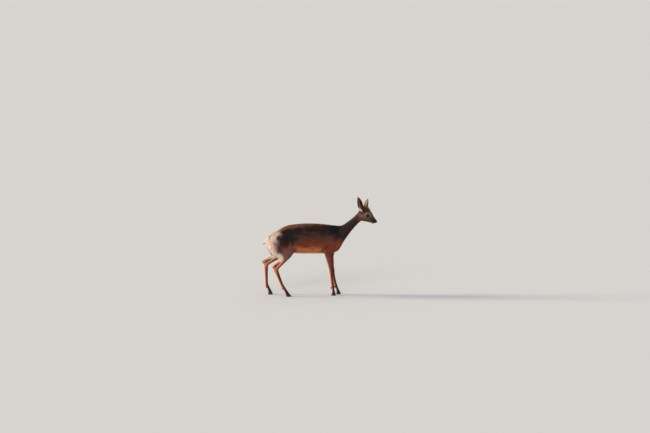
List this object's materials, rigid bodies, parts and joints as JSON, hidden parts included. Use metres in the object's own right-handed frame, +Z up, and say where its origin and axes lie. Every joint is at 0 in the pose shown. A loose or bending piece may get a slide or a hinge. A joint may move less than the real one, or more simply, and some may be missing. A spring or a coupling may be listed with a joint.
{
  "type": "dik-dik, dwarf antelope, standing, life size",
  "caption": "Life-size still model of a standing dik-dik, a dwarf antelope: slender legs, cloven hooves, forehead tuft, large ears, head turned to one side.",
  "frame": {"origin": "on the floor, under the middle of the animal's bounding box", "axes": "+X the way the animal stands facing, -Y its right flank, +Z up"},
  "size_m": [0.6202, 0.1204, 0.5408],
  "materials": {
    "coat": "short, dense, grizzled grey-brown to tan hair",
    "horn": "black hoof horn, satin",
    "eye": "dark brown, wet gloss"
  },
  "bodies": {
    "root": {"torso": "coat", "neck": "coat", "head": "coat", "tail": "coat", "ear_right": "coat", "ear_left": "coat", "foreleg_right_upper": "coat", "foreleg_right_lower": "coat", "foreleg_left_upper": "coat", "foreleg_left_lower": "coat", "hindleg_right_upper": "coat", "hindleg_right_lower": "coat", "hindleg_left_upper": "coat", "hindleg_left_lower": "coat", "eye_right": "eye", "eye_left": "eye", "hoof_fore_right_inner": "horn", "hoof_fore_right_outer": "horn", "hoof_fore_left_inner": "horn", "hoof_fore_left_outer": "horn", "hoof_hind_right_inner": "horn", "hoof_hind_right_outer": "horn", "hoof_hind_left_inner": "horn", "hoof_hind_left_outer": "horn", "dewclaw_fore_right_inner": "horn", "dewclaw_fore_right_outer": "horn", "dewclaw_fore_left_inner": "horn", "dewclaw_fore_left_outer": "horn", "dewclaw_hind_right_inner": "horn", "dewclaw_hind_right_outer": "horn", "dewclaw_hind_left_inner": "horn", "dewclaw_hind_left_outer": "horn"}
  },
  "joints": []
}
